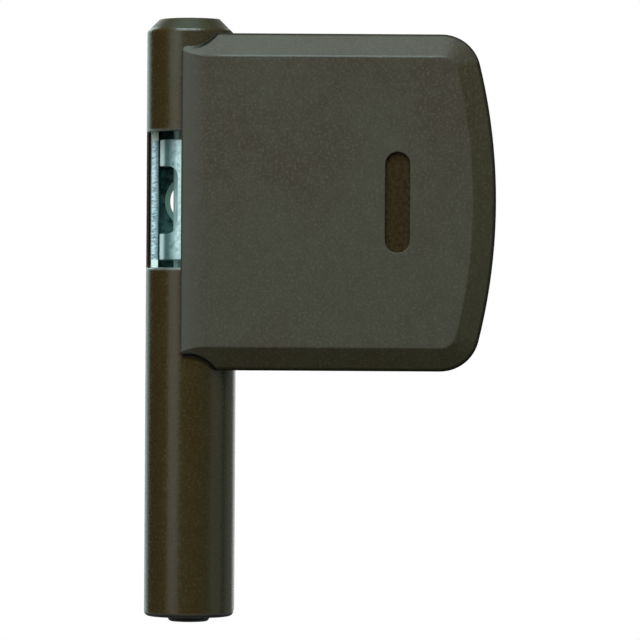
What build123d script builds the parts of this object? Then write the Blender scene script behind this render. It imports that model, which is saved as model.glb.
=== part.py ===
from build123d import *
import os
from math import sqrt

# Hinge-side window lock, in millimetres. +Z runs up the hinge axle, +X from the tube to the case,
# and the front faces -Y. The pieces are drawn about the axle, with the tube's foot at Z = 0, and
# moved at the end so that the origin is the middle of the channel's back, on the window frame.

# Hinge, from the axle outwards
AXLE_R = 3.95
RUNNING = 0.05  # radial play between the axle and every bore
PLATE = 3.0  # sheet of the sash plate and its rolled knuckles
KNUCKLE_GAP = 0.35  # knuckle to channel flange
SHEET = 1.5  # sheet of the frame channel
CHANNEL_GAP = 0.25  # channel to tube wall
TUBE_WALL = 0.9
BACK_GAP = 1.5  # knuckle to the channel's back
SEAT_GAP = 0.2  # plastic rims stand this far off the surface they cover
FIT_GAP = 0.1  # between pieces that are fitted together
BORE_R = AXLE_R + RUNNING
KNUCKLE_R = BORE_R + PLATE
CHANNEL_IN = KNUCKLE_R + KNUCKLE_GAP
CHANNEL_OUT = CHANNEL_IN + SHEET
TUBE_IN = CHANNEL_OUT + CHANNEL_GAP
TUBE_R = TUBE_IN + TUBE_WALL
FRAME_Y = KNUCKLE_R + BACK_GAP + SHEET

# Heights along the tube
TUBE_LENGTH = 133.3
TUBE_END = 1.4  # thickness of the closed top and foot
TUBE_CHAMFER = 2.8
FOOT_ROUND = 1.1
HINGE_DROP = 40.4  # tube top to the hinge's middle
KNUCKLE_H = 5.8
NOTCH_H = 15.2  # between the two knuckles
SLIT = 1.75  # knuckle to the window's edge
WINDOW_ROUND = 1.2  # inner corners of the tube's window
EDGE_ROUND = 0.25  # worn edges of the mouldings and the knuckles
TOP_ROUND = 0.9  # edges of the tube's chamfer
TOP_FLAT = 1.1  # chamfer cut this much deeper on the case's side
WINDOW_EDGE = 0.6  # outer edge of the tube's window
BEARING_H = 8.0
BEARING_SET = 1.0  # bearing to the window's edge
LOWER_BEARING = 7.0  # foot of the lower bearing
END_SPACE = 0.6  # channel to the tube's closed ends
HINGE = TUBE_LENGTH - HINGE_DROP
BAND_H = 2 * KNUCKLE_H + NOTCH_H
WINDOW_H = BAND_H + 2 * SLIT
UPPER_BEARING = HINGE + WINDOW_H / 2 + BEARING_SET
MIDDLE_BEARING = HINGE - WINDOW_H / 2 - BEARING_SET - BEARING_H
CHANNEL_FOOT = TUBE_END + END_SPACE
CHANNEL_TOP = TUBE_LENGTH - TUBE_END - TUBE_CHAMFER - END_SPACE
CHANNEL_MID = (CHANNEL_FOOT + CHANNEL_TOP) / 2

# Channel, its screw holes, rivets and the tube's click bumps
BEND_R = 0.8
FRAME_HOLE_R = 5.0  # under the heads of 6 mm countersunk screws
FRAME_SINK_R = 6.2
LOW_HOLE_SET = 9.9  # lower bearing to the lowest screw hole
HOLE_STEPS = (0, 2, 3, 4)  # screw holes on an even pitch down from the hinge
RIVET_R = 1.5
RIVET_DEPTH = 2.0  # into the bearing
RIVET_Y = 3.0
RIVET_PLAY = 0.05
BUMP_R = 1.8
BUMP_LENGTH = 1.2
BUMP_Y = 4.0
BUMP_PLAY = 0.2
LOW_HOLE = LOWER_BEARING + BEARING_H + LOW_HOLE_SET
HOLE_PITCH = (HINGE - LOW_HOLE) / HOLE_STEPS[-1]
FRAME_HOLES = [HINGE - step * HOLE_PITCH for step in HOLE_STEPS]
RIVET_SIDES = {"left": -1, "right": 1}
BUMP_HEIGHTS = [LOW_HOLE + HOLE_PITCH / 2, (UPPER_BEARING + BEARING_H + CHANNEL_TOP) / 2]

# Axle, its set screw and the plug under it
AXLE_END_BEVEL = 0.6
AXLE_OVERHANG = 1.0  # below the lower bearing
BLIND_STOP = 1.6  # closed top of the upper bearing
GRUB_R = 2.0
GRUB_TIP_R = 1.2
GRUB_BITE = 0.5  # tip into the axle
GRUB_SUNK = 0.5  # below the bearing's front
SOCKET_R = 1.15
SOCKET_DEPTH = 1.4
THREAD_PLAY = 0.05
PLUG_R = 4.2
PLUG_PLAY = 0.1
PLUG_LENGTH = 4.0
PLUG_WALL = 1.0
PLUG_HEAD_R = 4.63
PLUG_HEAD = 1.2
PLUG_ROUND = 0.8
AXLE_FOOT = LOWER_BEARING - AXLE_OVERHANG
AXLE_TOP = UPPER_BEARING + BEARING_H - BLIND_STOP - FIT_GAP
GRUB_Z = LOWER_BEARING + BEARING_H / 2

# Case on the sash
CASE_REACH = 67.9  # axle to the far side
CASE_HEIGHT = 74.8
CASE_DROP = 0.5  # case's middle below the hinge's middle
CASE_WALL = 2.0
CASE_FRONT_WALL = 1.8
SIDE_R = 128.0  # bow of the far side
CORNER_R = 8.8
BEVEL_W = 5.2
BEVEL_D = 2.9
FRONT_ROUND = 1.0  # front face to bevel
SIDE_ROUND = 0.8  # bevel to side
SWING_GAP = 0.5  # case to tube
LIP = 1.2  # case front over the tube's clearance
LIP_REACH = 1.9  # lip past the axle
LIP_SOFT = 5.2  # length over which the lip bends back
LIP_DROP = 0.7
LIP_CORNER_R = 1.8
TUBE_SIDE_WALL = 1.6  # case wall beside the tube
TONGUE_GAP = 0.5  # case to the plate's tongue
BADGE_X = 46.0
BADGE_W = 5.4
BADGE_H = 22.2
BADGE_DEPTH = 0.8
SASH_Y = 1.5  # sash surface behind the axle
RECESS_R = TUBE_R + SWING_GAP
FRONT_Y = -(RECESS_R + LIP)
CASE_RIM_Y = SASH_Y - SEAT_GAP
CASE_MID = HINGE - CASE_DROP

# Sash plate and base inside the case
BASE_GAP = 0.25  # base to the case's wall
BASE_FLOOR = 1.8
BASE_RIM = 1.5
PLATE_GAP = 0.5  # plate to the case's wall
PLATE_SHORT = 12.9  # plate's far edge to the case's far side
PLATE_ROUND = 3.0
ROLL_SLIT = 0.4  # end of the roll to the plate
NOTCH_EDGE = 2.8  # notch stops this far left of the axle
NOTCH_ROUND = 2.6
SCREW_R = 3.25
SINK_R = 5.75
SCREW_EDGE = 9.0  # plate's edges to the screws
BOSS_WALL = 3.0
HOOK_W = 6.0
HOOK_DEPTH = 1.5
HOOK_BITE = 0.6  # hook under the plate
HOOK_PLAY = 0.5
POST_R = 2.0
POST_SPREAD = 15.0
BASE_LEFT = RECESS_R + TUBE_SIDE_WALL + BASE_GAP
PLATE_LEFT = BASE_LEFT + PLATE_GAP
PLATE_RIGHT = CASE_REACH - PLATE_SHORT
PLATE_MID = (PLATE_LEFT + PLATE_RIGHT) / 2
PLATE_HALF_H = CASE_HEIGHT / 2 - CASE_WALL - PLATE_GAP
BASE_DEPTH = SASH_Y + BORE_R
SASH_SCREWS = [
    (x, CASE_MID + side * (PLATE_HALF_H - SCREW_EDGE))
    for x in (PLATE_LEFT + SCREW_EDGE, PLATE_RIGHT - SCREW_EDGE)
    for side in (-1, 1)
]
HOOK_XS = [(PLATE_LEFT + PLATE_MID) / 2, (PLATE_MID + PLATE_RIGHT) / 2]

BEARINGS = {
    "upper_bearing": UPPER_BEARING,
    "middle_bearing": MIDDLE_BEARING,
    "lower_bearing": LOWER_BEARING,
}
OVERCUT = 1.0  # cutters run past what they cut
TINY = 0.01  # tolerance for finding edges
SPARE = 30.0  # case block left of the axle, trimmed to the lip
BASE_ALIGN = (Align.CENTER, Align.CENTER, Align.MIN)


def block(x, y, z):
    """A box between the two limits given for each axis."""
    size = [high - low for low, high in (x, y, z)]
    centre = [(high + low) / 2 for low, high in (x, y, z)]
    return Pos(*centre) * Box(*size)


def tunnel(radius, back):
    """Plan outline: half round in front of the axle, straight sides to the back."""
    front = ThreePointArc((-radius, 0), (0, -radius), (radius, 0))
    sides = Polyline((radius, 0), (radius, back), (-radius, back), (-radius, 0))
    return make_face([front, sides])


def upright(face, low, high):
    """A plan outline raised from one height to another."""
    return extrude(Pos(0, 0, low) * face, high - low, dir=(0, 0, 1))


def facing(face, y, depth):
    """A front outline, drawn as X and Z, grown towards the front from y."""
    return extrude(Plane.XZ.offset(-y) * face, depth, dir=(0, -1, 0))


def along_x(radius, start, end, y, z):
    """A cylinder from one X to another."""
    low = min(start, end)
    return Pos(low, y, z) * Rot(0, 90, 0) * Cylinder(radius, abs(end - start), align=BASE_ALIGN)


def along_y(radius, start, end, x, z):
    """A cylinder from one Y to another, further back."""
    return Pos(x, start, z) * Rot(-90, 0, 0) * Cylinder(radius, end - start, align=BASE_ALIGN)


def along_z(radius, low, high):
    """A cylinder about the axle."""
    return Pos(0, 0, low) * Cylinder(radius, high - low, align=BASE_ALIGN)


def screw_hole(x, z, front, sheet, hole_r, sink_r):
    """Cutter for a hole through a sheet, countersunk at 90 degrees from the front."""
    hole = along_y(hole_r, front - OVERCUT, front + sheet + OVERCUT, x, z)
    cone = Cone(sink_r, hole_r, sink_r - hole_r, align=BASE_ALIGN)
    return hole + Pos(x, front, z) * Rot(-90, 0, 0) * cone


def rim(solid, end):
    """Edges around a tunnel's upper (-1) or lower (0) end, without the one at the back."""
    return solid.edges().group_by(Axis.Z)[end].sort_by(Axis.Y)[:-1]


def level_edges(solid, z):
    """Edges that lie flat at one height."""
    return solid.edges().filter_by_position(Axis.Z, z - FIT_GAP, z + FIT_GAP)


def window_loop(solid):
    """Outer edges of the tube's window."""
    half = WINDOW_H / 2 + FIT_GAP
    near = solid.edges().filter_by_position(Axis.Z, HINGE - half, HINGE + half)
    front = [edge for edge in near if (edge @ 0.5).Y <= 0]
    return [edge for edge in front if (edge @ 0.5).X ** 2 + (edge @ 0.5).Y ** 2 > (TUBE_R - FIT_GAP) ** 2]


def tube_sleeve():
    outer = upright(tunnel(TUBE_R, FRAME_Y - SEAT_GAP), 0, TUBE_LENGTH)
    outer = chamfer(rim(outer, -1), TUBE_CHAMFER)
    outer = fillet(rim(outer, 0), FOOT_ROUND)
    outer = fillet(rim(outer, -1) + level_edges(outer, TUBE_LENGTH - TUBE_CHAMFER), TOP_ROUND)
    flat_x = TUBE_R - (TUBE_CHAMFER + TOP_FLAT) / 2
    flat_z = TUBE_LENGTH - (TUBE_CHAMFER + TOP_FLAT) / 2
    outer -= Pos(flat_x, 0, flat_z) * Rot(0, 45, 0) * Box(SPARE, 2 * SPARE, SPARE, align=BASE_ALIGN)
    inner = upright(tunnel(TUBE_IN, FRAME_Y + OVERCUT), TUBE_END, TUBE_LENGTH - TUBE_END)
    inner = chamfer(rim(inner, -1), TUBE_CHAMFER)
    wide = TUBE_R + OVERCUT
    window = block((-wide, wide), (-wide, 0), (HINGE - WINDOW_H / 2, HINGE + WINDOW_H / 2))
    window = fillet(window.edges().filter_by(Axis.X).group_by(Axis.Y)[-1], WINDOW_ROUND)
    plug_hole = along_z(PLUG_R + PLUG_PLAY, -OVERCUT, TUBE_END + OVERCUT)
    sleeve = outer - inner - window - plug_hole
    sleeve = fillet(window_loop(sleeve), WINDOW_EDGE)
    for z in BUMP_HEIGHTS:
        for side in RIVET_SIDES.values():
            tip = side * (TUBE_IN - BUMP_LENGTH)
            root = side * (TUBE_IN + TUBE_WALL / 2)
            sleeve += along_x(BUMP_R, tip, root, BUMP_Y, z)
    return sleeve


def frame_channel():
    outside = Pos(0, FRAME_Y / 2) * Rectangle(2 * CHANNEL_OUT, FRAME_Y)
    outside = fillet(outside.vertices().group_by(Axis.Y)[-1], BEND_R + SHEET)
    inside = Pos(0, (FRAME_Y - SHEET) / 2) * Rectangle(2 * CHANNEL_IN, FRAME_Y - SHEET)
    inside = fillet(inside.vertices().group_by(Axis.Y)[-1], BEND_R)
    channel = upright(outside - inside, CHANNEL_FOOT, CHANNEL_TOP)
    for z in FRAME_HOLES:
        channel -= screw_hole(0, z, FRAME_Y - SHEET, SHEET, FRAME_HOLE_R, FRAME_SINK_R)
    wide = CHANNEL_OUT + OVERCUT
    for low in BEARINGS.values():
        channel -= along_x(RIVET_R + RIVET_PLAY, -wide, wide, RIVET_Y, low + BEARING_H / 2)
    for z in BUMP_HEIGHTS:
        channel -= along_x(BUMP_R + BUMP_PLAY, -wide, wide, BUMP_Y, z)
    return channel


def bearing(low):
    """A block that fills the channel, drilled for the axle and its two rivets."""
    high = low + BEARING_H
    body = upright(tunnel(CHANNEL_IN - FIT_GAP, FRAME_Y - SHEET - FIT_GAP), low, high)
    body = fillet(body.edges().filter_by(Axis.Z).group_by(Axis.Y)[-1], BEND_R + FIT_GAP)
    for side in RIVET_SIDES.values():
        inner = side * (CHANNEL_IN - RIVET_DEPTH)
        body -= along_x(RIVET_R + RIVET_PLAY, inner, side * CHANNEL_OUT, RIVET_Y, low + BEARING_H / 2)
    stop = BLIND_STOP if low == UPPER_BEARING else -OVERCUT
    body -= along_z(BORE_R, low - OVERCUT, high - stop)
    if low == LOWER_BEARING:
        body -= along_y(GRUB_R + THREAD_PLAY, -CHANNEL_IN - OVERCUT, 0, 0, GRUB_Z)
    return body


def rivet(low, side):
    """A rivet through one flange, peened flush outside."""
    start = side * (CHANNEL_IN - RIVET_DEPTH + RIVET_PLAY)
    return along_x(RIVET_R, start, side * CHANNEL_OUT, RIVET_Y, low + BEARING_H / 2)


def hinge_axle():
    rod = along_z(AXLE_R, AXLE_FOOT, AXLE_TOP)
    rod = chamfer(rod.edges().filter_by(GeomType.CIRCLE), AXLE_END_BEVEL)
    dimple_end = -AXLE_R + GRUB_BITE + THREAD_PLAY
    return rod - along_y(GRUB_TIP_R + THREAD_PLAY, -AXLE_R - OVERCUT, dimple_end, 0, GRUB_Z)


def axle_grub_screw():
    front = -(CHANNEL_IN - FIT_GAP) + GRUB_SUNK
    body = along_y(GRUB_R, front, -AXLE_R - FIT_GAP, 0, GRUB_Z)
    tip = along_y(GRUB_TIP_R, front, -AXLE_R + GRUB_BITE, 0, GRUB_Z)
    socket = facing(Pos(0, GRUB_Z) * RegularPolygon(SOCKET_R, 6), front + SOCKET_DEPTH, SOCKET_DEPTH)
    return body + tip - socket


def bottom_plug():
    head = along_z(PLUG_HEAD_R, -PLUG_HEAD, 0)
    head = fillet(head.edges().filter_by(GeomType.CIRCLE).group_by(Axis.Z)[0], PLUG_ROUND)
    shank = along_z(PLUG_R, 0, PLUG_LENGTH) - along_z(PLUG_R - PLUG_WALL, 0, PLUG_LENGTH)
    return head + shank


def rolled_knuckles():
    """The plate's edge rolled about the axle, notched to leave two knuckles."""
    low, high = HINGE - BAND_H / 2, HINGE + BAND_H / 2
    wide = KNUCKLE_R + OVERCUT
    roll = along_z(KNUCKLE_R, low, high)
    roll = fillet(roll.edges().filter_by(GeomType.CIRCLE), EDGE_ROUND) - along_z(BORE_R, low, high)
    roll -= block((0, wide), (-BORE_R, -BORE_R + ROLL_SLIT), (low, high))
    notch_z = (HINGE - NOTCH_H / 2, HINGE + NOTCH_H / 2)
    front = Pos(-(wide + NOTCH_EDGE) / 2, HINGE) * Rectangle(wide - NOTCH_EDGE, NOTCH_H)
    front = fillet(front.vertices().group_by(Axis.X)[-1], NOTCH_ROUND)
    roll -= facing(front, 0, wide)
    roll -= block((-wide, wide), (0, wide), notch_z)
    return roll - block((0, wide), (-BORE_R, 0), notch_z)


def sash_plate():
    low, high = CASE_MID - PLATE_HALF_H, CASE_MID + PLATE_HALF_H
    leaf = Pos(PLATE_MID, CASE_MID) * Rectangle(PLATE_RIGHT - PLATE_LEFT, high - low)
    leaf += Pos(PLATE_MID / 2, HINGE) * Rectangle(PLATE_MID, BAND_H)
    leaf = fillet([v for v in leaf.vertices() if v.X > PLATE_LEFT / 2], PLATE_ROUND)
    plate = facing(leaf, -BORE_R, PLATE) + rolled_knuckles()
    for x, z in SASH_SCREWS:
        plate -= screw_hole(x, z, -KNUCKLE_R, PLATE, SCREW_R, SINK_R)
    return plate


def case_outline(inset):
    """Front outline of the case, drawn in by an even amount: flat ends and a bowed far side."""
    half = CASE_HEIGHT / 2 - inset
    radius = SIDE_R - inset
    reach = CASE_REACH - inset
    corner_x = reach - radius + sqrt(radius**2 - half**2)
    top, bottom = (corner_x, CASE_MID + half), (corner_x, CASE_MID - half)
    side = ThreePointArc(top, (reach, CASE_MID), bottom)
    rest = Polyline(bottom, (-SPARE, bottom[1]), (-SPARE, top[1]), top)
    face = make_face([side, rest])
    return fillet(face.vertices().group_by(Axis.X)[-1], CORNER_R - inset)


def case_block(inset, rim_y, front_y, bevel_depth):
    """The case as a solid block with its bevelled front."""
    solid = facing(case_outline(inset), rim_y, rim_y - front_y)
    front = solid.faces().sort_by(Axis.Y)[0]
    edges = front.edges().sort_by(Axis.X)[1:]
    return chamfer(edges, BEVEL_W * bevel_depth / BEVEL_D, bevel_depth, reference=front)


def lip_profile():
    """Plan outline of the case: flat front that bends back to the lip over the tube."""
    bend = (LIP_SOFT - LIP_REACH, FRONT_Y)
    tip = (-LIP_REACH, FRONT_Y + LIP_DROP)
    far = CASE_REACH + OVERCUT
    back = SASH_Y + OVERCUT
    soft = TangentArc(bend, tip, tangent=(-1, 0))
    rest = Polyline(tip, (-LIP_REACH, back), (far, back), (far, FRONT_Y), bend)
    face = make_face([soft, rest])
    return fillet(face.vertices().sort_by_distance(tip)[0], EDGE_ROUND)


def lip_corners():
    """Cutters that round the lip's two corners, where the bevel runs out over the tube."""
    thin = -FRONT_Y - sqrt(RECESS_R**2 - LIP_REACH**2)
    end = CASE_HEIGHT / 2 - BEVEL_W * (1 - thin / BEVEL_D)
    x = LIP_CORNER_R - LIP_REACH
    cutters = Part()
    for side in (-1, 1):
        z = CASE_MID + side * (end - LIP_CORNER_R)
        limits = sorted((z, CASE_MID + side * CASE_HEIGHT / 2))
        corner = block((-LIP_REACH - OVERCUT, x), (FRONT_Y - OVERCUT, 0), limits)
        cutters += corner - along_y(LIP_CORNER_R, FRONT_Y - OVERCUT, 0, x, z)
    return cutters


def case_shell():
    """The case's outer block with its rounded edges, trimmed to the lip."""
    outer = case_block(0, CASE_RIM_Y, FRONT_Y, BEVEL_D)
    shoulder = outer.edges().filter_by(lambda e: abs(e.center().Y - FRONT_Y - BEVEL_D) < TINY)
    outer = fillet([e for e in shoulder if e.center().X > -SPARE + OVERCUT], SIDE_ROUND)
    front = outer.faces().sort_by(Axis.Y)[0]
    outer = fillet(front.edges().sort_by(Axis.X)[1:], FRONT_ROUND)
    low, high = CASE_MID - CASE_HEIGHT / 2 - OVERCUT, CASE_MID + CASE_HEIGHT / 2 + OVERCUT
    return (outer & upright(lip_profile(), low, high)) - lip_corners()


def case_cavity():
    """The hollow inside the case, right of the wall beside the tube."""
    bevel = BEVEL_D - CASE_FRONT_WALL + CASE_WALL / 2
    cavity = case_block(CASE_WALL, SASH_Y, FRONT_Y + CASE_FRONT_WALL, bevel)
    low, high = CASE_MID - CASE_HEIGHT / 2, CASE_MID + CASE_HEIGHT / 2
    cavity -= upright(tunnel(RECESS_R + TUBE_SIDE_WALL, SASH_Y), low, high)
    return cavity - block((-SPARE - OVERCUT, 0), (FRONT_Y, SASH_Y + OVERCUT), (low, high))


def cover_hooks():
    """Hooks inside the upper and lower walls that snap behind the plate."""
    hooks = Part()
    inside = CASE_HEIGHT / 2 - CASE_WALL
    for x in HOOK_XS:
        for side in (-1, 1):
            tip = CASE_MID + side * (inside - PLATE_GAP - HOOK_BITE)
            root = CASE_MID + side * (inside + CASE_WALL / 2)
            z = sorted((tip, root))
            y = (-BORE_R + FIT_GAP, -BORE_R + FIT_GAP + HOOK_DEPTH)
            hooks += block((x - HOOK_W / 2, x + HOOK_W / 2), y, z)
    return hooks


def cover_posts():
    """Two posts from the inside of the front down to the plate."""
    front = FRONT_Y + CASE_FRONT_WALL / 2
    heights = (CASE_MID - POST_SPREAD, CASE_MID + POST_SPREAD)
    return [along_y(POST_R, front, -KNUCKLE_R, PLATE_MID, z) for z in heights]


def case_cover():
    low, high = CASE_MID - CASE_HEIGHT / 2 - OVERCUT, CASE_MID + CASE_HEIGHT / 2 + OVERCUT
    cover = case_shell() - upright(tunnel(RECESS_R, SASH_Y + OVERCUT), low, high) - case_cavity()
    tongue_x = (0, RECESS_R + TUBE_SIDE_WALL + OVERCUT)
    tongue_y = (-KNUCKLE_R - TONGUE_GAP, SASH_Y + OVERCUT)
    tongue_z = (HINGE - BAND_H / 2 - TONGUE_GAP, HINGE + BAND_H / 2 + TONGUE_GAP)
    cover = cover - block(tongue_x, tongue_y, tongue_z) + cover_hooks() + cover_posts()
    badge = Pos(BADGE_X, CASE_MID) * SlotOverall(BADGE_H, BADGE_W, rotation=90)
    cover -= facing(badge, FRONT_Y + BADGE_DEPTH, BADGE_DEPTH + OVERCUT)
    around = cover.edges().filter_by_position(Axis.Y, FRONT_Y - FIT_GAP, FRONT_Y + FIT_GAP)
    inside = around.filter_by_position(Axis.X, BADGE_X - BADGE_W, BADGE_X + BADGE_W)
    return fillet(inside.filter_by_position(Axis.Z, CASE_MID - BADGE_H, CASE_MID + BADGE_H), EDGE_ROUND)


def sash_base():
    outline = case_outline(CASE_WALL + BASE_GAP)
    inner = case_outline(CASE_WALL + BASE_GAP + BASE_RIM)
    cut = Pos(BASE_LEFT - CASE_REACH, CASE_MID) * Rectangle(2 * CASE_REACH, 2 * CASE_HEIGHT)
    inner_cut = Pos(BASE_RIM, 0) * cut
    base = facing(outline - cut, SASH_Y, BASE_FLOOR)
    base += facing((outline - cut) - (inner - inner_cut), SASH_Y, BASE_DEPTH)
    for x, z in SASH_SCREWS:
        base += along_y(SCREW_R + BOSS_WALL, -BORE_R, SASH_Y, x, z)
    for x, z in SASH_SCREWS:
        base -= along_y(SCREW_R, -BORE_R - OVERCUT, SASH_Y + OVERCUT, x, z)
    pocket_y = (-BORE_R - OVERCUT, -BORE_R + FIT_GAP + HOOK_DEPTH + HOOK_PLAY)
    for x in HOOK_XS:
        pocket_x = (x - HOOK_W / 2 - HOOK_PLAY, x + HOOK_W / 2 + HOOK_PLAY)
        for z in ((CASE_MID - CASE_HEIGHT, SASH_SCREWS[0][1]), (SASH_SCREWS[1][1], CASE_MID + CASE_HEIGHT)):
            base -= block(pocket_x, pocket_y, z)
    return base


pieces = {
    "tube_sleeve": tube_sleeve(),
    "frame_channel": frame_channel(),
    "hinge_axle": hinge_axle(),
    "axle_grub_screw": axle_grub_screw(),
    "bottom_plug": bottom_plug(),
    "sash_plate": sash_plate(),
    "sash_base": sash_base(),
    "case_cover": case_cover(),
}
for name, low in BEARINGS.items():
    pieces[name] = bearing(low)
    for side_name, side in RIVET_SIDES.items():
        pieces[f"{name}_rivet_{side_name}"] = rivet(low, side)

to_frame = Pos(0, -FRAME_Y, -CHANNEL_MID)
os.makedirs("parts", exist_ok=True)
for name, piece in pieces.items():
    export_step(to_frame * piece, f"parts/{name}.step")
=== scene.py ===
import math

import bpy
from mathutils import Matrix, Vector


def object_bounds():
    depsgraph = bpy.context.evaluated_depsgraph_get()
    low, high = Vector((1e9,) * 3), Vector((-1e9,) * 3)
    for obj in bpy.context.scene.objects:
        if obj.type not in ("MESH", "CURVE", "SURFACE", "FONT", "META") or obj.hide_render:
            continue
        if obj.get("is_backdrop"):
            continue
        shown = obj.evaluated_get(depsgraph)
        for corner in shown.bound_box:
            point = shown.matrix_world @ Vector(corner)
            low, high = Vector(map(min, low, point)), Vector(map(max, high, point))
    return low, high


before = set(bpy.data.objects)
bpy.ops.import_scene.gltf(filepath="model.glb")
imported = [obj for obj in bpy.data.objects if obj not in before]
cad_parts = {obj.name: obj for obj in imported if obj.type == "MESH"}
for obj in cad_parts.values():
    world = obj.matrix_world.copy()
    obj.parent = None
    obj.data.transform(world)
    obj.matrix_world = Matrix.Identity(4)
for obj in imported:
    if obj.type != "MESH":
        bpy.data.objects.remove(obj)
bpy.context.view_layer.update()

# Photograph: 640 pixels wide, taken square from the front with a long lens
FRAME_PIXELS = 640
FOCAL_PIXELS = 4300
SENSOR = 36.0
CAMERA = (0.0290, -0.9720, 0.00105)
ROLL = math.radians(-0.35)  # the lock leans a little in the photograph

# Stage, in metres
AIM = Vector((0.029, -0.012, 0.005))
FLOOR_DROP = 0.36  # floor below the foot, since the lock hangs on a window frame
FLOOR_R = 2.2
FLOOR_CORNERS = 96
FLOOR_ROUGH = 0.9
FLOOR_LIFT = 0.40  # keeps the far floor pale
BACKDROP = (0.75, 0.95)  # how far behind the lock the surround turns white, as a direction's Y

# Soft boxes: name, place, width, height, watts, colour
LAMPS = (
    ("key_top", (-0.13, -0.65, 1.01), 1.10, 0.70, 18.0, (0.77, 0.96, 1.0)),
    ("front_strip", (-0.14, -1.06, 0.52), 0.90, 0.14, 2.2, (0.95, 0.95, 1.0)),
    ("overhead", (-0.10, -0.06, 0.95), 0.90, 0.70, 1.5, (0.48, 0.95, 0.98)),
    ("left_front", (-0.78, -0.89, 0.26), 0.66, 0.95, 2.8, (0.92, 1.0, 0.93)),
    ("left_back", (-0.40, 0.50, 0.05), 0.30, 0.70, 0.58, (0.65, 1.0, 1.0)),
    ("right_back", (0.58, 0.34, 0.00), 0.40, 0.55, 0.24, (0.78, 1.0, 0.86)),
    ("right_fill", (0.88, -0.25, 0.00), 0.60, 0.55, 0.50, (0.72, 1.0, 0.84)),
    ("left_high", (-0.315, 0.592, 0.405), 0.30, 0.30, 0.50, (0.85, 1.0, 1.0)),
    ("right_high", (0.373, 0.592, 0.405), 0.30, 0.30, 0.30, (0.85, 1.0, 0.96)),
    ("back_fill", (0.10, 0.85, 0.50), 0.60, 0.60, 1.5, (1.0, 1.0, 1.0)),
)

# Places on the object, in metres. A pair runs from where a mark starts to where it is full,
# and a triple is a mark's centre, half width and softness.
SOFT = 0.0001  # softness of most painted edges
AXLE_Y = -0.0100
WINDOW_Z = 0.02765
WINDOW_HALF = 0.0154
WINDOW_STEP = 0.001  # over which marks change at the window's middle
# ... tube
CUT_HALF = 0.00955  # the sleeve's cut edge, inside its rounding
CUT_DEPTH = 0.0006
CUT_END = 0.0003  # the cut edge stops short of the window's ends
RIM = (0.01546, 0.00026, SOFT)  # painted highlight on the rounded edges above and below the window, from its middle
RIM_Y = (-0.0102, -0.0106)
SHEEN_Z = (0.0520, 0.0580)  # painted sheen on the upper right of the tube
SHEEN_X = (-0.0060, -0.0030)
SIDE_SHEEN_X = (0.0020, 0.0040)  # painted sheen on the right side
CHAMFER_Z = (0.0658, 0.0662)  # above the rounded lower edge of the tube's chamfer, which is painted with shade
FOOT_Z = (-0.06425, -0.06475)  # rounded foot, painted with shade
# ... case
COOLER_Z = (0.050, 0.000)  # the front turns cooler downwards
RECESS_X = (0.0460, 0.0030, SOFT)
RECESS_Z = (0.02715, 0.0114, SOFT)
RECESS_WALL_Y = -0.02155  # behind this, inside the recess
WORN_Y = (-0.02163, 0.00005, 0.00002)  # rounded edge between the front and the bevel
WORN_X = (0.0038, 0.0080)
TOP_HIGHLIGHT_Z = (0.0575, 0.0580)  # painted highlight on that edge at the top
TOP_HIGHLIGHT_X = (0.0580, 0.0530)  # up to where the top bevel turns into the far side
SHOULDER_Y = -0.0188  # edge between the bevel and the sides
SIDE_Y = (SHOULDER_Y + 0.0024, SHOULDER_Y + 0.0004)  # the shoulder's painted shadow line fades back along the sides
OUTLINE = 0.00032  # the painted shadow line's width on the bevel
FAR_OUTLINE = 0.00048
OUTLINE_FULL = 0.56  # share of that width where the line is full
LIP_R = 0.0105  # inside of the lip, from the axle
LIP_OUTER = (LIP_R + 0.00048, LIP_R + 0.00032)  # the lip's thin edge, painted as a shadow line
LIP_INNER = (LIP_R, LIP_R + 0.00006)
LIP_SHOWN_X = (0.0, 0.0030)  # above the window's middle the edge's painted shadow starts only here
LIP_SHEEN_X = (0.0036, -0.0004)
LIP_TIP_X = (-0.00148, -0.00168)  # left end of the lip, painted with shadow
# ... steel
CHANNEL_HALF = 0.0074  # inside half width
CHANNEL_FLOOR_Y = -0.0015
INSIDE_Y = (CHANNEL_FLOOR_Y + 0.0002, CHANNEL_FLOOR_Y + 0.0001)
SINK_Y = (CHANNEL_FLOOR_Y / 2, 0.00068, 0.00003)  # within the sheet's thickness, where the countersinks are painted pale as painted light
LIT_Z = (WINDOW_Z + 0.002, WINDOW_Z - 0.005)  # painted light: the channel's inside is lighter low down
FLANGE_EDGE_Y = -0.0100
FLANGE_Y = (FLANGE_EDGE_Y, 0.00005, 0.00005)
FLANGE_ENDS = (WINDOW_HALF - 0.00115, 0.0008, 0.0003)  # bright ends, from the window's middle
FLANGE_FADE_X = (0.0083, 0.0073)  # dark inner half, from the tube's middle
KNUCKLE_SHADE_X = (-0.0053, 0.0004, 0.0018)
KNUCKLE_HIGHLIGHT_X = (-0.0056, -0.0063)  # painted highlight on the outer side of the knuckles
AXLE_SHADOW_UP = (0.0132, 0.0136)  # painted shadow beside the bearings, from the window's middle
AXLE_SHADOW_X = (-0.0031, -0.0024)

# Faces that take a node's second material
CUT_FACE_DEPTH = 0.0007
CUT_FACE_END = 0.0002
CUT_FACE_FRONT = -0.2  # the normal's Y
LIP_FACE = (-0.00003, 0.00003, 0.00050)  # from LIP_R: least, least of the farthest corner, most
FAR_TILT = 0.30  # turned this far from the front
FAR_LEFT = -0.20  # not turned to the left
FAR_UP = 1 / 3  # nor upwards

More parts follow.
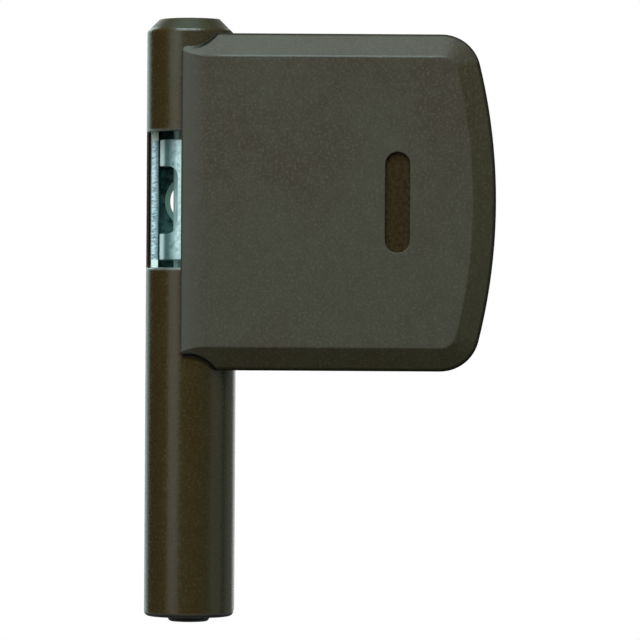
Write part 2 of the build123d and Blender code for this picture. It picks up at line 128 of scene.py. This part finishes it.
# How strongly each mark shows, from 0 to 1
PATCHY = 0.5
COOLER = 0.14
WORN = 0.8
TOP_HIGHLIGHT = 0.42
SIDE_SHADOW = 0.65
LIP_SHEEN = 0.68
LIP_TIP_SHADOW = 0.6
RIM_UPPER = 0.35  # of the painted highlight on the rim above the window, which faces away from the light
RIM_THIN = 0.5  # of the rim where the plastic is dark
SHEEN = 0.75
SIDE_SHEEN = 0.35
CHAMFER_SHADE = 0.50
CHAMFER_DULL = 0.30
STAINED = 0.35
LIT = 0.18
FLANGE_DARK = 0.92
PLATE_PALE = 0.55
KNUCKLE_DARK = 0.90
HIGHLIGHT_LOW = 0.8
AXLE_SHADOWED = 0.8
MARKS_SHARE = 0.7  # of the tool marks in the steel's tone
FILM_SHARE = 0.3

# Noises: how fine they are, and the spread of their values that makes a mark
PLAIN, FINE, COARSE = 3.0, 4.0, 2.0  # layers of detail
GRAIN_SCALE = 1700.0
CLOUD_SCALE = 380.0
PATCH_SCALE = 42.0
RECESS_SCALE = 1100.0
SMOOTH_SCALE = 1500.0
PLATING_SCALE = 900.0
FILM_SCALE = 300.0
FLOOR_SCALE = 6.0
FLOW_STRETCH = (240.0, 240.0, 90.0)
ROLLED_STRETCH = (900.0, 900.0, 110.0)
STREAK_STRETCH = (1500.0, 1500.0, 60.0)
TICK_STRETCH = (900.0, 900.0, 2100.0)
DRAWN_STRETCH = (1600.0, 1600.0, 60.0)
MILLED_STRETCH = (200.0, 1400.0, 1400.0)
RIVET_STRETCH = (500.0, 900.0, 900.0)
WIDE = (0.30, 0.70)
EVEN = (0.32, 0.68)
FIRM = (0.35, 0.65)
CRISP = (0.36, 0.64)
SPECKS = (0.50, 0.80)
RIM_SPREAD = (0.30, 0.60)
ROLLED_SPREAD = (0.30, 0.55)
STAIN_SPREAD = (0.40, 0.70)
LIT_SPREAD = (0.40, 0.75)
TICK_SPREAD = (0.28, 0.58)

# Roughness, gloss (specular level), metal, and bump heights in metres
GRAIN_ROUGH = 0.07  # either side of a plastic's own roughness
SMOOTH_ROUGH = (-0.06, 0.08)
STEEL_ROUGH = 0.08
DULL_ROUGH = 0.9  # dark edges, chamfer and foot
WORN_ROUGH = 0.20
RECESS_ROUGH = (0.22, 0.34)
PLATING_ROUGH = (0.26, 0.46)
SINK_ROUGH = 0.65
TICK_ROUGH = (0.36, 0.56)
ZINC_GLOSS = 0.2
CHANNEL_METAL = 0.45
SINK_METAL = 0.05
ENDS_METAL = 0.1
PLATE_METAL = 0.4
HIGHLIGHT_METAL = 0.0
STEEL_METAL = 0.5
COVER_BUMP = 0.00005
SLEEVE_BUMP = 0.00003
SMOOTH_BUMP = 0.00003
STEEL_BUMP = 0.00002
RECESS_HEIGHT = 0.35  # shares of those heights
PLATING_HEIGHT = 0.8
TICK_HEIGHT = 2.0

# Colours, linear. A plastic's tones are dark, light, warm, cool and speck.
SLEEVE_TONES = ((0.037, 0.0225, 0.0060), (0.047, 0.030, 0.0090), (0.044, 0.024, 0.0060),
                (0.040, 0.030, 0.0100), (0.056, 0.040, 0.0160))
SLEEVE_SHEEN = (0.047, 0.039, 0.0200)
SLEEVE_CHAMFER_SHADE = (0.024, 0.018, 0.0050)
COVER_TONES = ((0.060, 0.048, 0.031), (0.075, 0.063, 0.043), (0.064, 0.048, 0.032),
               (0.075, 0.069, 0.050), (0.102, 0.092, 0.070))
COVER_FAR_SHADE = (0.96, 0.95, 0.82)  # painted shade: darker, warmer tint of the case's far side and underside
COVER_SHADOW = (0.008, 0.008, 0.005)
COVER_LIP_SHEEN = (0.088, 0.082, 0.066)
COVER_HIGHLIGHT = (0.17, 0.175, 0.165)
RECESS_DARK = (0.030, 0.019, 0.007)
RECESS_LIGHT = (0.041, 0.028, 0.012)
RIM_HIGHLIGHT = (0.15, 0.16, 0.145)
SLEEVE_SHADOW = (0.006, 0.006, 0.005)
PLUG_DARK = (0.009, 0.008, 0.005)
PLUG_LIGHT = (0.017, 0.014, 0.008)
BASE_DARK = (0.020, 0.018, 0.014)
BASE_LIGHT = (0.036, 0.032, 0.026)
ZINC = (0.40, 0.62, 0.64)
ZINC_PALE = (0.72, 0.90, 0.92)
ZINC_DEEP = (0.09, 0.20, 0.21)
ZINC_INSIDE_SHADE = (0.036, 0.090, 0.090)
ZINC_SHADE = (0.13, 0.31, 0.30)
ZINC_SINK_LIT = (0.56, 1.0, 0.80)
ZINC_ENDS = (0.86, 1.0, 0.92)
ZINC_HIGHLIGHT = (0.86, 1.0, 1.0)
ZINC_TICK = (0.07, 0.17, 0.18)
ZINC_FRONT = (0.72, 0.92, 0.97)
STEEL = (0.78, 0.96, 0.94)
STEEL_DARK = (0.46, 0.64, 0.62)
AXLE_SHADOW = (0.10, 0.15, 0.13)
FLOOR_PALE = (0.62, 0.62, 0.61)
FLOOR_SHADE = (0.58, 0.58, 0.57)
FLOOR_BOUNCE = (0.11, 0.10, 0.08)  # light that the floor throws back on the lock
WORLD_WHITE = (1.0, 1.0, 1.0)
WORLD_ROOM = (0.042, 0.034, 0.026)


class Nodes:
    """Short calls for building one node tree."""

    def __init__(self, tree):
        self.tree = tree

    def node(self, kind, **values):
        made = self.tree.nodes.new(kind)
        for key, value in values.items():
            setattr(made, key, value)
        return made

    def feed(self, socket, value):
        if isinstance(value, bpy.types.NodeSocket):
            self.tree.links.new(value, socket)
        elif isinstance(value, tuple) and socket.type == "RGBA":
            socket.default_value = (*value, 1.0)
        else:
            socket.default_value = value

    def split(self, vector):
        made = self.node("ShaderNodeSeparateXYZ")
        self.feed(made.inputs[0], vector)
        return tuple(made.outputs)

    def math(self, operation, first, second=0.0):
        made = self.node("ShaderNodeMath", operation=operation)
        self.feed(made.inputs[0], first)
        self.feed(made.inputs[1], second)
        return made.outputs[0]

    def times(self, first, *others):
        """Product of masks or numbers."""
        for other in others:
            first = self.math("MULTIPLY", first, other)
        return first

    def most(self, first, *others):
        """Largest of some masks."""
        for other in others:
            first = self.math("MAXIMUM", first, other)
        return first

    def remap(self, value, low, high, to_low=0.0, to_high=1.0):
        made = self.node("ShaderNodeMapRange")
        limits = {"Value": value, "From Min": low, "From Max": high, "To Min": to_low, "To Max": to_high}
        for name, number in limits.items():
            self.feed(made.inputs[name], number)
        return made.outputs["Result"]

    def mix(self, factor, first, second):
        """Colour between two colours."""
        made = self.node("ShaderNodeMix", data_type="RGBA")
        self.feed(made.inputs[0], factor)
        self.feed(made.inputs[6], first)
        self.feed(made.inputs[7], second)
        return made.outputs[2]

    def rays(self):
        """Masks for rays from the camera, and for rays that a surface mirrors or lets through."""
        path = self.node("ShaderNodeLightPath").outputs
        return path["Is Camera Ray"], self.most(path["Is Glossy Ray"], path["Is Transmission Ray"])


class Shader(Nodes):
    """One material about a Principled shader, with marks placed by object coordinates."""

    def __init__(self, name):
        self.material = bpy.data.materials.new(name)
        self.material.use_nodes = True
        super().__init__(self.material.node_tree)
        self.shader = self.tree.nodes["Principled BSDF"]
        self.place = self.node("ShaderNodeTexCoord").outputs["Object"]
        self.x, self.y, self.z = self.split(self.place)

    def noise(self, scale, detail=PLAIN, vector=None):
        made = self.node("ShaderNodeTexNoise")
        self.feed(made.inputs["Vector"], vector or self.place)
        self.feed(made.inputs["Scale"], scale)
        self.feed(made.inputs["Detail"], detail)
        return made.outputs["Fac"]

    def streaked(self, stretch, detail=PLAIN):
        """Noise with its own fineness along each axis."""
        made = self.node("ShaderNodeMapping")
        self.feed(made.inputs["Vector"], self.place)
        self.feed(made.inputs["Scale"], stretch)
        return self.noise(1.0, detail, made.outputs["Vector"])

    def between(self, factor, first, second):
        """Number between two numbers."""
        made = self.node("ShaderNodeMix")
        self.feed(made.inputs[0], factor)
        self.feed(made.inputs[2], first)
        self.feed(made.inputs[3], second)
        return made.outputs[0]

    def away(self, value, centre):
        """Distance from the centre."""
        return self.math("ABSOLUTE", self.math("SUBTRACT", value, centre))

    def near(self, value, centre, half, soft):
        """1 within half of the centre, falling to 0 over the soft width."""
        return self.remap(self.away(value, centre), half, half + soft, 1.0, 0.0)

    def bump(self, height, distance):
        made = self.node("ShaderNodeBump")
        self.feed(made.inputs["Height"], height)
        self.feed(made.inputs["Strength"], 1.0)
        self.feed(made.inputs["Distance"], distance)
        self.feed(self.shader.inputs["Normal"], made.outputs["Normal"])

    def set(self, **values):
        for key, value in values.items():
            self.feed(self.shader.inputs[key.replace("_", " ")], value)


def grained(name, tones, rough_mid, cooler_below=False):
    """Starts a brown plastic with a fine spark-eroded grain."""
    dark, light, warm, cool, speck = tones
    s = Shader(name)
    grain = s.noise(GRAIN_SCALE, FINE)
    cloud = s.noise(CLOUD_SCALE, FINE)
    patch = s.noise(PATCH_SCALE)
    if cooler_below:
        patch = s.math("ADD", patch, s.remap(s.z, *COOLER_Z, 0.0, COOLER))
    colour = s.mix(s.remap(cloud, *EVEN), dark, light)
    colour = s.mix(PATCHY, colour, s.mix(s.remap(patch, *CRISP), warm, cool))
    colour = s.mix(s.remap(grain, *SPECKS), colour, speck)
    rough = s.remap(grain, *WIDE, rough_mid - GRAIN_ROUGH, rough_mid + GRAIN_ROUGH)
    return s, grain, cloud, colour, rough


def cover_plastic(name, tones, rough_mid, gloss, outline):
    """The case's plastic: a smooth dark recess, smoother rounded front edges with a painted highlight along
    the top one, a painted sheen on the lip and a painted shadow as a dark outline.
    """
    s, grain, _, colour, rough = grained(name, tones, rough_mid, cooler_below=True)
    soft = s.noise(RECESS_SCALE, FINE)
    inside = s.times(s.near(s.x, *RECESS_X), s.near(s.z, *RECESS_Z),
                     s.remap(s.y, RECESS_WALL_Y - SOFT, RECESS_WALL_Y))
    worn = s.times(s.near(s.y, *WORN_Y), s.remap(s.x, *WORN_X))
    painted_highlight = s.times(worn, s.remap(s.z, *TOP_HIGHLIGHT_Z, 0.0, TOP_HIGHLIGHT), s.remap(s.x, *TOP_HIGHLIGHT_X))
    pale = s.remap(s.x, *LIP_SHEEN_X, 0.0, LIP_SHEEN)

    # Painted shadow: dark lines along the shoulder, the lip's thin edge and the lip's left end.
    side = s.times(s.remap(s.y, SHOULDER_Y - outline, SHOULDER_Y - outline * OUTLINE_FULL),
                   s.remap(s.y, *SIDE_Y, 0.0, SIDE_SHADOW))
    ahead = s.math("SUBTRACT", s.y, AXLE_Y)
    radius = s.math("SQRT", s.math("ADD", s.times(s.x, s.x), s.times(ahead, ahead)))
    shown = s.most(s.remap(s.z, WINDOW_Z + WINDOW_STEP, WINDOW_Z), s.remap(s.x, *LIP_SHOWN_X))
    lip = s.times(s.remap(radius, *LIP_OUTER), s.remap(radius, *LIP_INNER), shown)
    edge = s.most(side, lip, s.remap(s.x, *LIP_TIP_X, 0.0, LIP_TIP_SHADOW))

    colour = s.mix(inside, colour, s.mix(s.remap(soft, *FIRM), RECESS_DARK, RECESS_LIGHT))
    # Painted highlight along the rounded edge at the top of the front.
    colour = s.mix(painted_highlight, colour, COVER_HIGHLIGHT)
    # Painted sheen: the lip's bend is painted paler.
    colour = s.mix(pale, colour, COVER_LIP_SHEEN)
    colour = s.mix(edge, colour, COVER_SHADOW)
    rough = s.between(s.times(worn, WORN), rough, WORN_ROUGH)
    rough = s.between(inside, rough, s.remap(soft, *WIDE, *RECESS_ROUGH))
    rough = s.between(edge, rough, DULL_ROUGH)
    s.bump(s.between(inside, grain, s.times(soft, RECESS_HEIGHT)), COVER_BUMP)
    s.set(Base_Color=colour, Roughness=rough, Specular_IOR_Level=gloss)
    return s.material


def sleeve_plastic(name, tones, rough_mid, gloss):
    """The tube's plastic: painted shadow on the cut edge and painted shade on the foot, painted highlights on
    the rims at the window, painted sheen on the upper right and right side, and a dull chamfer with painted
    shade.
    """
    s, grain, cloud, colour, rough = grained(name, tones, rough_mid)
    # Painted shadow: the wall's cut edge at the window is painted nearly black.
    cut = s.times(s.near(s.y, FLANGE_EDGE_Y, CUT_DEPTH, SOFT),
                  s.near(s.z, WINDOW_Z, WINDOW_HALF - CUT_END, SOFT), s.near(s.x, 0.0, CUT_HALF, SOFT))
    rim = s.times(s.near(s.away(s.z, WINDOW_Z), *RIM), s.remap(s.y, *RIM_Y),
                  s.remap(s.z, WINDOW_Z, WINDOW_Z + WINDOW_STEP, 1.0, RIM_UPPER))
    painted_sheen = s.most(s.times(s.remap(s.z, *SHEEN_Z, 0.0, SHEEN), s.remap(s.x, *SHEEN_X)),
                   s.remap(s.x, *SIDE_SHEEN_X, 0.0, SIDE_SHEEN))
    chamfer = s.remap(s.z, *CHAMFER_Z)
    foot = s.remap(s.z, *FOOT_Z)

    colour = s.mix(cut, colour, SLEEVE_SHADOW)
    # Painted highlight along the window's rounded rims, weaker on the upper one.
    colour = s.mix(s.times(rim, s.remap(cloud, *RIM_SPREAD, RIM_THIN, 1.0)), colour, RIM_HIGHLIGHT)
    # Painted sheen: paler, greener tones on the upper right and on the right side of the tube.
    colour = s.mix(painted_sheen, colour, SLEEVE_SHEEN)
    # Painted shade darkens the chamfer.
    colour = s.mix(s.times(chamfer, CHAMFER_SHADE), colour, SLEEVE_CHAMFER_SHADE)
    # Painted shade: the rounded foot is painted nearly black.
    colour = s.mix(foot, colour, SLEEVE_SHADOW)
    rough = s.between(s.most(foot, s.times(chamfer, CHAMFER_DULL)), rough, DULL_ROUGH)
    s.bump(grain, SLEEVE_BUMP)
    s.set(Base_Color=colour, Roughness=rough, Specular_IOR_Level=gloss)
    return s.material


def smooth_plastic(name, dark, light, rough, gloss):
    """Plain moulding with faint flow marks, for the plug and the base."""
    s = Shader(name)
    flow = s.streaked(FLOW_STRETCH, FINE)
    grain = s.noise(SMOOTH_SCALE)
    s.bump(grain, SMOOTH_BUMP)
    s.set(Base_Color=s.mix(s.remap(flow, *EVEN), dark, light),
          Roughness=s.remap(grain, *WIDE, *(rough + step for step in SMOOTH_ROUGH)),
          Specular_IOR_Level=gloss)
    return s.material


def plating(name):
    """Starts a blue-white zinc plate over rolled sheet."""
    s = Shader(name)
    rolled = s.streaked(ROLLED_STRETCH, FINE)
    cloud = s.noise(PLATING_SCALE)
    rough = s.remap(cloud, *WIDE, *PLATING_ROUGH)
    height = s.math("ADD", rolled, s.times(cloud, PLATING_HEIGHT))
    return s, rolled, cloud, rough, height


def channel_zinc(name):
    """The channel's plating: painted shade inside, painted light on the countersinks, and ticked sheared
    edges in front.
    """
    s, _, cloud, rough, height = plating(name)
    streaks = s.streaked(STREAK_STRETCH)
    ticks = s.streaked(TICK_STRETCH)
    within = s.near(s.x, 0.0, CHANNEL_HALF, SOFT)
    inside = s.times(within, s.remap(s.y, *INSIDE_Y))
    lit = s.remap(s.math("ADD", cloud, s.remap(s.z, *LIT_Z, 0.0, LIT)), *LIT_SPREAD)
    sink = s.times(within, s.near(s.y, *SINK_Y))
    edge = s.near(s.y, *FLANGE_Y)
    ends = s.near(s.away(s.z, WINDOW_Z), *FLANGE_ENDS)
    front = s.mix(s.remap(ticks, *TICK_SPREAD), ZINC_TICK, ZINC_FRONT)
    front = s.mix(s.remap(s.away(s.x, 0.0), *FLANGE_FADE_X, 0.0, FLANGE_DARK), front, ZINC_TICK)

    colour = s.mix(s.remap(streaks, *FIRM), ZINC, ZINC_PALE)
    colour = s.mix(s.remap(cloud, *STAIN_SPREAD, 0.0, STAINED), colour, ZINC_DEEP)
    # Painted shade: the channel's inside is dark, and painted lighter low down.
    colour = s.mix(inside, colour, s.mix(lit, ZINC_INSIDE_SHADE, ZINC_SHADE))
    # Painted light: the countersinks are painted pale.
    colour = s.mix(sink, colour, s.mix(s.remap(cloud, *FIRM), ZINC_SINK_LIT, ZINC_PALE))
    colour = s.mix(edge, colour, s.mix(ends, front, ZINC_ENDS))
    metal = s.between(sink, CHANNEL_METAL, SINK_METAL)
    metal = s.between(s.times(edge, ends), metal, ENDS_METAL)
    rough = s.between(sink, rough, SINK_ROUGH)
    rough = s.between(edge, rough, s.remap(ticks, *WIDE, *TICK_ROUGH))
    s.bump(s.between(edge, height, s.times(ticks, TICK_HEIGHT)), STEEL_BUMP)
    s.set(Base_Color=colour, Roughness=rough, Metallic=metal, Specular_IOR_Level=ZINC_GLOSS)
    return s.material


def plate_zinc(name):
    """The sash plate's plating, with painted shade and a painted highlight on the knuckles."""
    s, rolled, cloud, rough, height = plating(name)
    knuckle_highlight = s.remap(s.x, *KNUCKLE_HIGHLIGHT_X)
    colour = s.mix(s.remap(cloud, *CRISP), ZINC_DEEP, ZINC_PALE)
    colour = s.mix(s.remap(rolled, *ROLLED_SPREAD), ZINC, colour)
    colour = s.mix(PLATE_PALE, colour, ZINC_PALE)
    # Painted shade in a band across the knuckles, and a painted highlight on their outer side.
    colour = s.mix(s.times(s.near(s.x, *KNUCKLE_SHADE_X), KNUCKLE_DARK), colour, ZINC_DEEP)
    bright = s.times(knuckle_highlight, s.remap(cloud, *WIDE, 1.0, HIGHLIGHT_LOW))
    colour = s.mix(bright, colour, ZINC_HIGHLIGHT)
    s.bump(height, STEEL_BUMP)
    s.set(Base_Color=colour, Roughness=rough, Specular_IOR_Level=ZINC_GLOSS,
          Metallic=s.between(knuckle_highlight, PLATE_METAL, HIGHLIGHT_METAL))
    return s.material


def machined(name, dark, light, stretch, rough, shaded_ends=False):
    """Bare steel with turning or drawing marks; the axle has painted shadow on its right side beside its
    bearings.
    """
    s = Shader(name)
    marks = s.streaked(stretch, FINE)
    film = s.noise(FILM_SCALE)
    tone = s.math("ADD", s.times(marks, MARKS_SHARE), s.times(film, FILM_SHARE))
    colour = s.mix(s.remap(tone, *CRISP), dark, light)
    if shaded_ends:
        # Painted shadow on the axle's right side beside the bearings.
        painted_shadow = s.times(s.remap(s.away(s.z, WINDOW_Z), *AXLE_SHADOW_UP, 0.0, AXLE_SHADOWED), s.remap(s.x, *AXLE_SHADOW_X))
        colour = s.mix(painted_shadow, colour, AXLE_SHADOW)
    s.bump(marks, STEEL_BUMP)
    s.set(Base_Color=colour, Roughness=s.remap(marks, *WIDE, rough - STEEL_ROUGH, rough + STEEL_ROUGH),
          Metallic=STEEL_METAL)
    return s.material


def on_cut_edge(_, face):
    """Faces of the sleeve's wall that the window cuts open."""
    x, y, z = face.center
    level = abs(y - FLANGE_EDGE_Y) < CUT_FACE_DEPTH and abs(z - WINDOW_Z) < WINDOW_HALF + CUT_FACE_END
    return level and abs(x) < CUT_HALF and face.normal.y < CUT_FACE_FRONT


def on_far_side(mesh, face):
    """Faces of the cover's far side, underside and lip edge."""
    corners = [mesh.vertices[i].co for i in face.vertices]
    away = [math.hypot(p.x, p.y - AXLE_Y) - LIP_R for p in corners]
    least, least_far, most = LIP_FACE
    on_lip = min(away) > least and least_far < max(away) < most
    n = face.normal
    far = math.hypot(n.x, n.z) > FAR_TILT and n.x > FAR_LEFT and n.z < n.x * FAR_UP
    return on_lip or far


def second_slot(name, material, chosen):
    """Gives a node another material on the chosen faces."""
    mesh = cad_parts[name].data
    mesh.materials.append(material)
    for face in mesh.polygons:
        if chosen(mesh, face):
            face.material_index = 1


def dress():
    """Gives every CAD node its material."""
    far_shaded_tones = [tuple(c * k for c, k in zip(tone, COVER_FAR_SHADE)) for tone in COVER_TONES]
    sleeve = sleeve_plastic("brown_sleeve", SLEEVE_TONES, rough_mid=0.25, gloss=0.42)
    sleeve_cut = sleeve_plastic("brown_sleeve_cut", SLEEVE_TONES, rough_mid=0.60, gloss=0.02)
    cover = cover_plastic("brown_cover", COVER_TONES, rough_mid=0.40, gloss=0.14, outline=OUTLINE)
    # The far side, underside and lip edge take darker tones as painted shade.
    cover_far_shade = cover_plastic("brown_cover_edge", far_shaded_tones, rough_mid=0.60, gloss=0.02, outline=FAR_OUTLINE)
    plug = smooth_plastic("brown_plug", PLUG_DARK, PLUG_LIGHT, rough=0.50, gloss=0.10)
    base = smooth_plastic("dark_base", BASE_DARK, BASE_LIGHT, rough=0.50, gloss=0.40)
    channel = channel_zinc("zinc_channel")
    plate = plate_zinc("zinc_plate")
    axle = machined("drawn_axle", STEEL_DARK, STEEL, DRAWN_STRETCH, rough=0.40, shaded_ends=True)
    block = machined("milled_bearing", STEEL_DARK, STEEL, MILLED_STRETCH, rough=0.40)
    rivet = machined("zinc_rivet", ZINC_DEEP, ZINC, RIVET_STRETCH, rough=0.36)
    given = {"tube_sleeve": sleeve, "case_cover": cover, "bottom_plug": plug, "sash_base": base,
             "frame_channel": channel, "sash_plate": plate, "hinge_axle": axle, "axle_grub_screw": axle}
    for name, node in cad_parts.items():
        made = given.get(name)
        if made is None:
            made = rivet if "rivet" in name else block
        node.data.materials.clear()
        node.data.materials.append(made)
    second_slot("tube_sleeve", sleeve_cut, on_cut_edge)
    second_slot("case_cover", cover_far_shade, on_far_side)


def area_light(name, place, width, height, watts, colour):
    """A soft box that faces the object."""
    lamp = bpy.data.lights.new(name, "AREA")
    lamp.shape = "RECTANGLE"
    lamp.size = width
    lamp.size_y = height
    lamp.energy = watts
    lamp.color = colour
    box = bpy.data.objects.new(name, lamp)
    box.location = place
    box.rotation_euler = (AIM - Vector(place)).to_track_quat("-Z", "Y").to_euler()
    bpy.context.scene.collection.objects.link(box)


def pale_floor():
    """A pale floor well below the lock, which throws little light back on it."""
    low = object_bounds()[0]
    bpy.ops.mesh.primitive_circle_add(vertices=FLOOR_CORNERS, radius=FLOOR_R, fill_type="NGON",
                                      location=(AIM.x, AIM.y, low.z - FLOOR_DROP))
    floor = bpy.context.object
    floor.name = "floor"
    s = Shader("pale_floor")
    seen = s.most(*s.rays())
    pale = s.mix(s.noise(FLOOR_SCALE, COARSE), FLOOR_SHADE, FLOOR_PALE)
    s.set(Base_Color=s.mix(seen, FLOOR_BOUNCE, pale), Roughness=FLOOR_ROUGH, Emission_Color=pale,
          Emission_Strength=s.times(seen, FLOOR_LIFT))
    floor.data.materials.append(s.material)
    floor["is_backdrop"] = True


def surround():
    """White where it is seen, and where it is mirrored from behind the lock; a dim room otherwise."""
    world = bpy.data.worlds.new("surround")
    bpy.context.scene.world = world
    world.use_nodes = True
    w = Nodes(world.node_tree)
    background = w.tree.nodes["Background"].inputs
    _, back, _ = w.split(w.node("ShaderNodeTexCoord").outputs["Generated"])
    seen, mirrored = w.rays()
    white = w.most(seen, w.times(mirrored, w.remap(back, *BACKDROP)))
    w.feed(background["Color"], w.mix(white, WORLD_ROOM, WORLD_WHITE))
    w.feed(background["Strength"], 1.0)


def camera():
    """The photograph's camera, square to the front."""
    data = bpy.data.cameras.new("camera")
    data.sensor_width = SENSOR
    data.lens = SENSOR * FOCAL_PIXELS / FRAME_PIXELS
    made = bpy.data.objects.new("camera", data)
    made.location = CAMERA
    made.rotation_euler = (math.pi / 2, ROLL, 0.0)
    bpy.context.scene.collection.objects.link(made)
    bpy.context.scene.camera = made


dress()
for lamp in LAMPS:
    area_light(*lamp)
pale_floor()
surround()
camera()
bpy.context.scene.view_settings.view_transform = "Standard"
